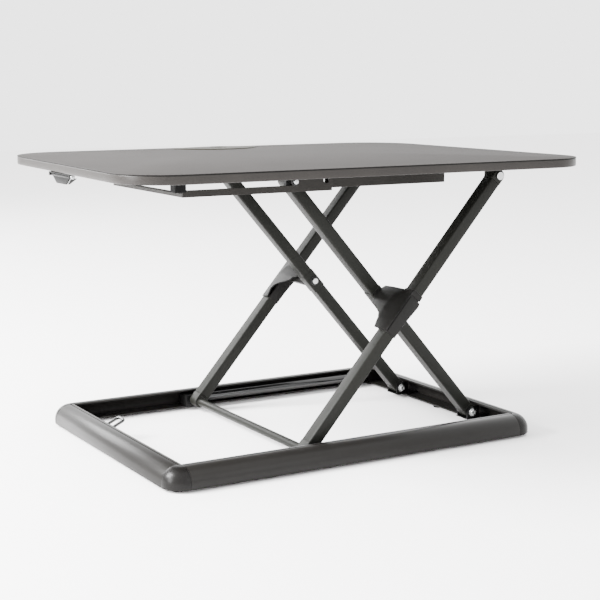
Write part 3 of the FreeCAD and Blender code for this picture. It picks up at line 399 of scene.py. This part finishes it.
def feet():
    """Turned pads with a rounded lower rim."""
    pads = []
    low, high = box_of("rubber_feet")
    for x in (low[0] + 9, high[0] - 9):
        for y in (low[1] + 9, 0, high[1] - 9):
            pads.append(slab(((x, y, 0), X, Y, Z), circle(8.8), 0, high[2], 1.2))
    piece("rubber_feet_pads", pads, "base", RUBBER, ["rubber_feet"])


def leg(name, basis, side, at, low_end, high_end, fitting, body):
    """A flat-oval tube between its two end fittings."""
    origin, along, over, _ = basis
    middle = np.array(origin) + Y * side * at
    section = oblong(-LEG_HALF, LEG_HALF, -LEG_SIDE, LEG_SIDE, 2.6)
    tube = slab((middle, over, Y, along), section, low_end + fitting, high_end - fitting, 0.5, 2)
    piece(name + "_tube", [tube], body, POWDER, [name])


def end_fittings(name, basis, at, end, inwards, reach, body, replaces):
    """Moulded leg ends: a half-round nose with eased cheeks and a boss round the pivot."""
    parts = []
    for _, side in SIDES:
        origin = np.array(basis[0]) + Y * side * at
        angle = np.linspace(math.pi / 2, 3 * math.pi / 2, 17) if inwards > 0 else np.linspace(
            -math.pi / 2, math.pi / 2, 17)
        nose = np.array([end, 0]) + LEG_HALF * np.stack([np.cos(angle), np.sin(angle)], 1)
        tail = [(end + inwards * (reach - 0.4), way * LEG_HALF) for way in (-1, 1)]
        outline = np.concatenate([nose, tail if inwards > 0 else tail[::-1]])
        parts.append(slab((origin, basis[1], basis[2], Y), outline, -LEG_SIDE, LEG_SIDE, 1.3))
        collar = circle(6.6, (end, 0))
        parts.append(slab((origin, basis[1], basis[2], Y), collar, -LEG_SIDE - 0.25, LEG_SIDE + 0.25, 0.5))
    piece(name, parts, body, POWDER, replaces)


def legs():
    """Both pairs of legs, measured from the middle pivot."""
    foot_run, top_run = np.linalg.norm(PIVOT - MIDDLE), np.linalg.norm(INNER_TOP - MIDDLE)
    inner_at = centre_of("inner_leg_rear")[1]
    outer_at = centre_of("outer_leg_rear")[1]
    for name, side in SIDES:
        leg("inner_leg_" + name, INNER_LEG, side, inner_at, -foot_run, top_run, FITTING, "inner_frame")
        leg("outer_leg_" + name, OUTER_LEG, side, outer_at, -foot_run, top_run, FITTING, "outer_frame")
    for kind, basis, at, body in (("inner", INNER_LEG, inner_at, "inner_frame"),
                                  ("outer", OUTER_LEG, outer_at, "outer_frame")):
        end_fittings(kind + "_leg_feet", basis, at, -foot_run, 1, FITTING, body,
                     [kind + "_leg_foot_fittings"])
        end_fittings(kind + "_leg_tops", basis, at, top_run, -1, FITTING, body,
                     [kind + "_leg_top_fittings"])
    sleeves = []
    for _, side in SIDES:
        origin = MIDDLE + Y * side * inner_at
        ring = oblong(-LEG_HALF - 1.1, LEG_HALF + 1.1, -11.9, 11.9, 3.0)
        sleeves.append(slab((origin, INNER_OVER, Y, INNER_UP), ring, -19, 19, 0.9))
    piece("inner_leg_pivot_sleeves", sleeves, "inner_frame", POWDER)


def bolt_head(basis, radius, high, socket=0.45):
    """A domed head with a hexagon socket's round mouth, as a turned profile."""
    dome = np.linspace(0, math.pi / 2, 7)
    top = np.stack([radius * (socket + (1 - socket) * np.cos(dome[::-1])), 0.35 * high
                    + 0.65 * high * np.sin(dome[::-1])], 1)[::-1]
    profile = [(0, 0), (radius, 0)] + top.tolist() + [(radius * socket, 0.45 * high), (0, 0.45 * high)]
    return lathe(basis, profile)


def washer(basis, radius, thick):
    """A flat ring with a softened rim."""
    return slab(basis, circle(radius), 0, thick, min(0.4, thick / 2.5))


def fasteners():
    """Bolts, nuts and washers of every pivot."""
    steel, dark = [], []
    for side in (-1, 1):
        at = side * INNER_Y
        head = (PIVOT + Y * (at - 15), X, Z, -Y)
        dark.append(washer(head, 8.6, 1.4))
        steel.append(washer((PIVOT + Y * (at - 16.4), X, Z, -Y), 7.0, 0.9))
        steel.append(bolt_head((PIVOT + Y * (at - 17.3), X, Z, -Y), 5.6, 3.6, 0.5))
        steel.append(slab((PIVOT + Y * (at - 15), X, Z, Y), circle(4.0), 0, 34.5, 0.6))
    piece("base_pivot_bolts_turned", steel, "base", ZINC, ["base_pivot_bolts"])
    nuts = [slab((PIVOT + Y * (side * INNER_Y + 15), X, Z, Y), circle(7.2, steps=6), 0, 4.8, 0.7)
            for side in (-1, 1)]
    piece("base_pivot_nuts_hexagon", nuts + dark, "base", DARK_STEEL,
          ["base_pivot_nuts"], sharp=20)
    rings, ends = [], []
    for _, side in SIDES:
        face = MIDDLE + Y * side * 94.5
        rings.append(lathe((face, X, Z, -Y * side), [(2.4, 0), (8.0, 0), (8.0, 1.6), (7.2, 2.4), (3.6, 2.4),
                                                     (2.4, 1.2)]))
        ends.append(bolt_head((face, X, Z, -Y * side), 2.4, 3.0, 0.3))
    piece("mid_pivot_caps", rings, "inner_frame", DARK_STEEL, ["mid_pivot_nuts"])
    piece("mid_pivot_bolt_ends", ends, "inner_frame", CHROME)


def pivot_cover(name, side):
    """A moulded cover round the outer leg at the middle pivot.  Its roof is one curved sheet: along
    the leg it follows an asymmetric hump, across it rises from the outer crease and runs in towards
    the inner leg, where it narrows round the pivot.  A sleeve wraps the leg and a boss the pivot."""
    outer, inner_leg_face = 198.9, 119.0
    along = np.linspace(-58, 19, 45)
    hump = np.interp(along, [-58, -50, -41, -28, -12, 0, 7, 14, 19],
                     [16.6, 18.8, 20.8, 22.3, 22.9, 20.8, 18.6, 15.2, 12.6])
    inner_edge = np.interp(along, [-58, -42, -35, -29, -23, -17, -12, -9, -5, 19],
                           [172, 171, 166, 154, 140, 131, 129.5, 122, 119.5, inner_leg_face])
    share = np.linspace(0, 1, 25)
    across = outer + (inner_edge[:, None] - outer) * share
    rise = 1 - np.clip((across - 172) / (outer - 172), 0, 1)
    rise = rise * rise * (3 - 2 * rise)
    droop = np.clip((172 - across) / (172 - inner_leg_face), 0, 1) ** 2 * 3.5
    height = 10.9 + (hump[:, None] - 10.9) * rise - droop
    flat = np.stack([np.broadcast_to(along[:, None], across.shape), height], -1)
    top = place(OUTER_LEG, flat, side * across)
    under_flat = flat.copy()
    under_flat[..., 1] -= 2.2
    under = place(OUTER_LEG, under_flat, side * across)
    rings = np.concatenate([top, under[:, ::-1]], 1)
    roof = skin(rings)
    bulge = np.array([(-57, -10.2), (-34, -10.6), (-20, -11.5), (-4, -13.3), (5, -14.2), (9.5, -13.8),
                      (12, -12.0), (12, 11.0), (-57, 11.0)])
    sleeve = slab(OUTER_LEG, bulge, *sorted((side * 173.5, side * 198.9)), 1.0)
    boss = slab(OUTER_LEG, circle(11.5), *sorted((side * 118.2, side * 175)), 0.8)
    step = corners([(13.2, -10.8), (23, -10.8), (23, 10.8), (13.2, 10.8)], [1.5] * 4, 4)
    collar = slab(OUTER_LEG, step, *sorted((side * 174.0, side * 198.4)), 0.8)
    piece("pivot_cover_%s_moulding" % name, [roof, sleeve, boss], "outer_frame", COVER,
          ["pivot_cover_" + name], sharp=28)
    piece("outer_leg_collar_" + name, [collar], "outer_frame", COVER)


def lens_outline(chord, front_sag, rear_sag, middle_y, count=96):
    """Two shallow arcs over one chord: y = centre +- root(curve^2 - x^2), from end to end."""
    x = -chord * np.cos(np.linspace(0, math.pi, count // 2, endpoint=False))
    halves = []
    for sag, sign in ((front_sag, -1), (rear_sag, 1)):
        curve = (chord ** 2 + sag ** 2) / (2 * sag)
        y = sign * (np.sqrt(curve ** 2 - x ** 2) - (curve - sag))
        halves.append(np.stack([x, middle_y + y], 1))
    return np.concatenate([halves[0], -halves[1] * (1, -1)])


def desktop():
    """Board, edge, laminate and the cable insert at the rear."""
    low, high = box_of("desktop_board")
    count = 288
    half, depth = 400.0, high[1] - low[1]
    plan = corners([(-half, -depth / 2), (half, -depth / 2), (378.5, depth / 2), (-378.5, depth / 2)],
                   [78, 78, 98, 98], 40)
    chord_y = depth / 2 - 32
    centre = np.array([0, chord_y - 12])
    hole = lens_outline(79.3, 50.3, 22.3, chord_y)
    outer, opening = seen_from(plan, centre, count), seen_from(hole, centre, count)
    ground = (np.zeros(3), X, Y, Z)
    board = holed_slab(ground, inset(outer, 0.15), opening, low[2], high[2], 1.6, 0.3)
    board = piece("desktop_board_panel", [board], "desktop", EDGING, ["desktop_board"])
    board.data.materials.append(BACKING)
    skin_low, skin_high = box_of("desktop_laminate")
    lip = lens_outline(83, 54, 26, chord_y)
    rebate = seen_from(lens_outline(83.3, 54.3, 26.3, chord_y), centre, count)
    sheet = holed_slab(ground, outer, rebate, skin_low[2], skin_high[2], 0.45, 0.2)
    sheet = piece("desktop_laminate_sheet", [sheet], "desktop", LAMINATE,
                  ["desktop_laminate"])
    sheet.data.materials.append(PAINTED_SHADOW_RIM)
    # On the laminate sheet, the faces that do not face up (its rim) take the painted shadow line. On the
    # board, the faces that face down take the backing.
    for thing, level in ((board, -0.9), (sheet, None)):
        normals = np.zeros(len(thing.data.polygons) * 3)
        thing.data.polygons.foreach_get("normal", normals)
        up = normals.reshape(-1, 3)[:, 2]
        second = up < level if level else up < 0.3
        thing.data.polygons.foreach_set("material_index", second.astype(np.int32))
    insert_low, insert_high = box_of("cable_insert")
    passage = seen_from(circle(15.8, (0, chord_y - 11), 96), centre, count)
    lip = seen_from(lip, centre, count)
    flange = holed_slab(ground, lip, passage, skin_low[2], skin_high[2] + 1.1, 0.5, 0.4, crown=1.2)
    plug = holed_slab(ground, inset(opening, 0.3), passage, insert_low[2] + 0.1, skin_low[2] + 0.5, 0.4, 0.3)
    piece("cable_insert_moulding", [flange, plug], "desktop", OLIVE, ["cable_insert"])


def release_lever(name, side):
    """A scoop-shaped paddle: a tapering blade with a returned cheek at each end."""
    low, high = box_of("release_lever_" + name)
    pin = centre_of("lock_pins")
    x = (low[0] + high[0]) / 2
    z = high[2] - 2.8
    basis = (np.array([x, 0, z]), Y, Z, X * -side)
    blade = corners([(-19, -12.5), (19, -12.5), (38.5, 0.6), (-38.5, 0.6)], [5, 5, 1.2, 1.2], 6)
    parts = [slab(basis, blade, -1.5, 1.5, 0.8)]
    for end in (-1, 1):
        cheek = np.array([(0.8, -2.6), (9.6, -2.6), (8.8, -4.4), (3.4, -11.6), (0.8, -11.8)])[::-1]
        shift = np.linspace(0, 1, 2)
        wall = [place((np.array([x, 0, z]), X * -side, Z, Y), cheek,
                      end * (37.4 - 1.6 * k + (cheek[:, 1] + 2.6) * 1.42)) for k in shift]
        parts.append(skin(np.array(wall)))
    parts.append(slab((np.array([x, 0, z]), X, Z, Y), circle(2.8), -38.4, 38.4, 0.5))
    piece("release_lever_%s_paddle" % name, parts, "release_lever_" + name, ABS,
          ["release_lever_" + name])


def catch():
    """A sloping loop of rounded bar on a riser and a foot."""
    floor_z = box_of("catch_loop")[0][2] + 0.1
    slope = math.radians(25.7)
    along = np.array([math.cos(slope), 0, math.sin(slope)])
    over = np.array([-math.sin(slope), 0, math.cos(slope)])
    start = np.array([-287.0, 85.0, 19.3])
    basis = (start, along, Y, over)
    loop = seen_from(corners([(-1, -13.6), (29.6, -13.6), (29.6, 13.6), (-1, 13.6)], [3, 7, 7, 3], 10),
                     np.array([14.5, 0]), 96)
    hole = seen_from(oblong(4.6, 24.8, -9, 9, 3.4), np.array([14.5, 0]), 96)
    parts = [holed_slab(basis, loop, hole, 0, 4.6, 1.5, 1.4)]
    parts.append(slab(((-285.5, 85, 0), X, Y, Z), oblong(-1.5, 1.5, -13, 13, 1.0), floor_z, 21.0, 0.5))
    parts.append(slab(((0, 85, 0), X, Y, Z), oblong(-300.5, -285, -13, 13, 1.5), floor_z, floor_z + 2.8,
                      0.6))
    parts.append(slab(((-290, 85, 0), X, Y, Z), oblong(-4, 4, -4.5, 4.5, 1.6), 8.4, 11.6, 1.0))
    piece("catch_loop_moulding", parts, "base", LACQUER, ["catch_loop"])


def turned(node, body, finish, along, radius, edge=0.5, spans=((None, None),)):
    """Round bars over a node's box, or over each given span of it, with both ends softened."""
    low, high = box_of(node)
    middle = (low + high) / 2
    run = {"x": (X, Y, Z, 0), "y": (Y, X, Z, 1)}[along]
    out, across, up, axis = run
    parts = []
    for start, end in spans:
        start = low[axis] if start is None else start
        end = high[axis] if end is None else end
        origin = middle.copy()
        origin[axis] = 0
        parts.append(slab((origin, across, up, out), circle(radius, steps=48), start, end, edge))
    return piece(node + "_turned", parts, body, finish, [node])


def rods_and_tubes():
    """Every round bar: lift cylinder, its rod, the foot tube, the axle, spacers and release cables."""
    turned("cylinder_barrel", "base", LACQUER, "x", 8.0, 1.6)
    turned("piston_rod", "base_sliders", CHROME, "x", 4.0, 0.4)
    turned("foot_cross_tube", "outer_frame", POWDER, "y", 6.5, 0.6)
    turned("top_axle", "inner_frame", ZINC, "y", 4.0, 0.8)
    spans = [sorted((side * 117.5, side * 173.0)) for side in (-1, 1)]
    turned("mid_pivot_spacers", "inner_frame", ABS, "y", 9.0, 0.6, spans)
    for name in ("left", "right"):
        turned("release_cable_" + name, "desktop", RUBBER, "x", 1.5, 0.3)


def pressed_parts():
    """The CAD's own shapes with eased edges and their finishes."""
    for node, finish, width in (
            ("rail_front", PRESSED, 0.6), ("rail_rear", PRESSED, 0.6), ("stiffener_channels", PRESSED, 0.7),
            ("cross_strut", PRESSED, 0.6), ("hinge_brackets", PRESSED, 0.5), ("pivot_brackets", ABS, 0.5),
            ("lock_housing", PRESSED, 0.4), ("lock_bar", ZINC, 0.5), ("lock_cam_left", DARK_STEEL, 0.4),
            ("lock_cam_right", DARK_STEEL, 0.4), ("slider_shoes", NYLON, 0.5),
            ("base_slider_front", NYLON, 0.6), ("base_slider_rear", NYLON, 0.6),
            ("fold_bumpers", RUBBER, 1.2), ("lever_brackets", ABS, 0.3), ("cylinder_holder", PRESSED, 0.4),
            ("cable_clips", ABS, 0.3), ("cylinder_gland", NYLON, 0),
            ("cylinder_end_plug", ZINC, 0.4), ("piston", ZINC, 0),
            ("mid_pivot_shafts", ZINC, 0.5), ("outer_leg_bushes", BRONZE, 0), ("foot_pins", ZINC, 0.6),
            ("hinge_bolts", ZINC, 0.5), ("under_desk_screws", ZINC, 0.3), ("corner_screws", ZINC, 0.3),
            ("axle_clips", DARK_STEEL, 0.3), ("lock_pins", ZINC, 0.2), ("lever_springs", ZINC, 0)):
        eased(node, finish, width)


# ---- the whole ----

camera()
base_frame()
feet()
legs()
fasteners()
for cover_name, cover_side in SIDES:
    pivot_cover(cover_name, cover_side)
desktop()
release_lever("left", -1)
release_lever("right", 1)
catch()
rods_and_tubes()
pressed_parts()

ground = bpy.data.meshes.new("floor")
ground.from_pydata([(-8, -8, 0), (8, -8, 0), (8, 8, 0), (-8, 8, 0)], [], [(0, 1, 2, 3)])
ground.materials.append(FLOOR)
floor = bpy.data.objects.new("floor", ground)
bpy.context.scene.collection.objects.link(floor)

softbox("key_softbox", (-2.4, 0.7, 1.9), (0, 0, 0.2), (1.2, 1.2), 640)
softbox("left_softbox", (-3.0, -0.2, 0.9), (-0.3, 0, 0.2), (0.9, 1.2), 150)
softbox("rear_softbox", (-0.9, 3.4, 1.75), (0, 0, 0.4), (1.6, 1.3), 130)
softbox("front_softbox", (0.6, -3.2, 1.4), (0, 0, 0.3), (1.6, 1.0), 20)
world = bpy.data.worlds.new("studio")
world.use_nodes = True
world.node_tree.nodes["Background"].inputs["Color"].default_value = (1, 1, 1, 1)
world.node_tree.nodes["Background"].inputs["Strength"].default_value = 3.3
bpy.context.scene.world = world
